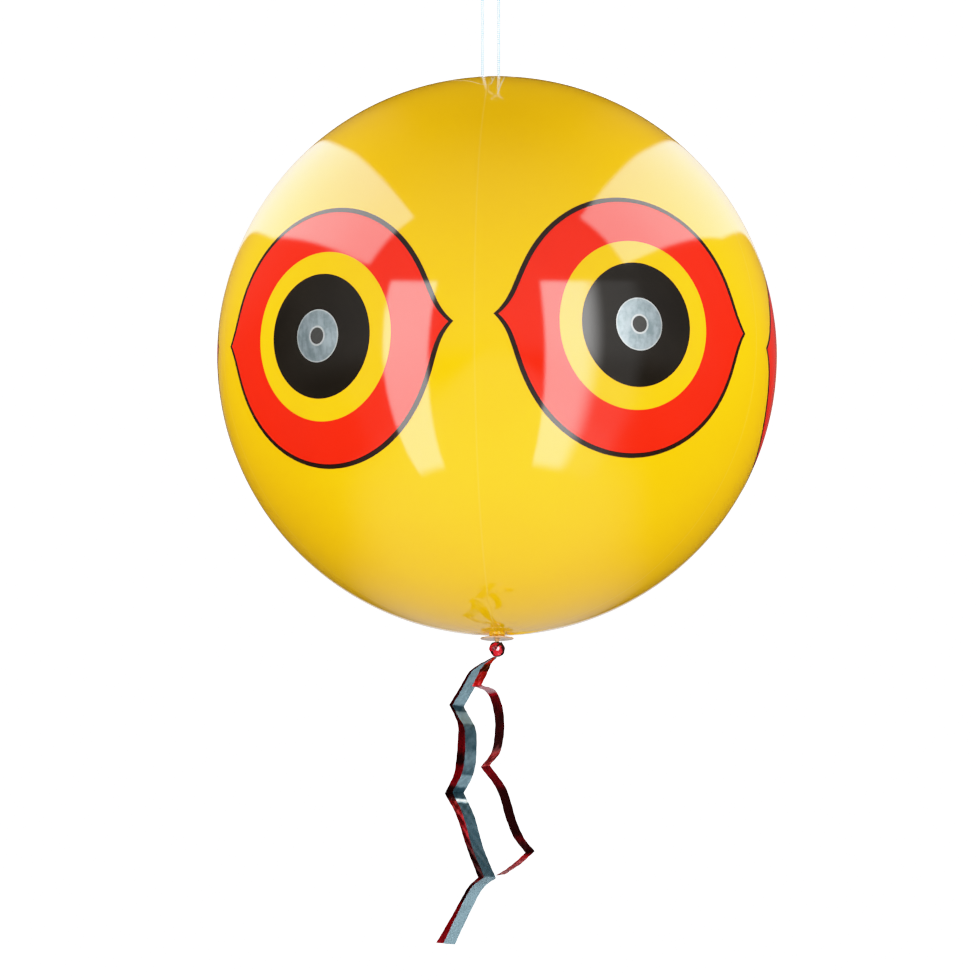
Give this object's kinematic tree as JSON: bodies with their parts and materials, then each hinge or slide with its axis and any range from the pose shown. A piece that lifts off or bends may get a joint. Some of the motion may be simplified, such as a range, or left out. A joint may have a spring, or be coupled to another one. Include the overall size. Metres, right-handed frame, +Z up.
{
  "type": "bird scare balloon",
  "caption": "Inflatable vinyl ball with large ringed eyes printed round it, hung from a knotted clear cord, with creased foil streamers that flutter below its plugged valve.",
  "frame": {"origin": "where a hook bears: inside the crown of the cord's top loop, straight above the ball's middle", "axes": "+Z up; the front of the picture faces -Y; +X to the right of the front"},
  "size_m": [0.4025, 0.4032, 0.7445],
  "materials": {
    "yellow_vinyl": "glossy soft vinyl film",
    "black_ink": "glossy print on vinyl",
    "red_ink": "glossy print on vinyl",
    "ring_ink": "glossy print on vinyl",
    "sticker_foil": "silver metallised film",
    "clear_vinyl": "clear soft vinyl",
    "clear_cord": "clear cord",
    "valve_vinyl": "translucent yellow vinyl",
    "plug_vinyl": "pale translucent vinyl",
    "red_foil": "red metallised film",
    "silver_foil": "silver metallised film"
  },
  "bodies": {
    "loop": {"cord_loop": "clear_cord"},
    "knot": {"cord_knot": "clear_cord"},
    "strands": {"cord_left": "clear_cord", "cord_right": "clear_cord"},
    "ball": {"gore_1": "yellow_vinyl", "gore_2": "yellow_vinyl", "gore_3": "yellow_vinyl", "gore_4": "yellow_vinyl", "gore_5": "yellow_vinyl", "eye_outline_1": "black_ink", "eye_outline_2": "black_ink", "eye_outline_3": "black_ink", "eye_outline_4": "black_ink", "eye_outline_5": "black_ink", "eye_red_1": "red_ink", "eye_red_2": "red_ink", "eye_red_3": "red_ink", "eye_red_4": "red_ink", "eye_red_5": "red_ink", "eye_ring_1": "ring_ink", "eye_ring_2": "ring_ink", "eye_ring_3": "ring_ink", "eye_ring_4": "ring_ink", "eye_ring_5": "ring_ink", "eye_pupil_1": "black_ink", "eye_pupil_2": "black_ink", "eye_pupil_3": "black_ink", "eye_pupil_4": "black_ink", "eye_pupil_5": "black_ink", "eye_sticker_1": "sticker_foil", "eye_sticker_2": "sticker_foil", "eye_sticker_3": "sticker_foil", "eye_sticker_4": "sticker_foil", "eye_sticker_5": "sticker_foil", "top_patch": "yellow_vinyl", "bottom_patch": "yellow_vinyl", "hang_patch": "clear_vinyl", "hang_pad": "clear_vinyl", "valve_stem": "valve_vinyl"},
    "flap": {"valve_flap": "valve_vinyl"},
    "plug": {"valve_plug": "plug_vinyl"},
    "tail": {"tail_knot": "red_foil"},
    "pair": {"streamer_front": "silver_foil", "streamer_rear": "red_foil"},
    "side": {"streamer_side": "red_foil"}
  },
  "joints": [
    {"name": "cord_turn", "type": "hinge", "parent": "loop", "child": "knot", "pos_m": [0, 0, -0.024], "axis": [0, 0, 1], "range_deg": [-180, 180]},
    {"name": "cord_swing", "type": "hinge", "parent": "knot", "child": "strands", "pos_m": [0, 0, -0.024], "axis": [0, 1, 0], "range_deg": [-30, 30]},
    {"name": "ball_nod", "type": "hinge", "parent": "strands", "child": "ball", "pos_m": [0, 0, -0.1194], "axis": [1, 0, 0], "range_deg": [-20, 20]},
    {"name": "flap_lift", "type": "hinge", "parent": "ball", "child": "flap", "pos_m": [0, 0.0054, -0.5097], "axis": [-1, 0, 0], "range_deg": [0, 60]},
    {"name": "plug_pull", "type": "slide", "parent": "ball", "child": "plug", "axis": [0, 0, -1], "range_m": [0, 0.015]},
    {"name": "tail_swing", "type": "hinge", "parent": "plug", "child": "tail", "pos_m": [0, 0, -0.5315], "axis": [0, 1, 0], "range_deg": [-20, 20]},
    {"name": "pair_sway", "type": "hinge", "parent": "tail", "child": "pair", "pos_m": [0, 0, -0.5346], "axis": [0.8192, 0.5736, 0], "range_deg": [0, 25]},
    {"name": "side_sway", "type": "hinge", "parent": "tail", "child": "side", "pos_m": [0, 0, -0.5346], "axis": [0.6691, -0.7431, 0], "range_deg": [-10, 25]}
  ]
}
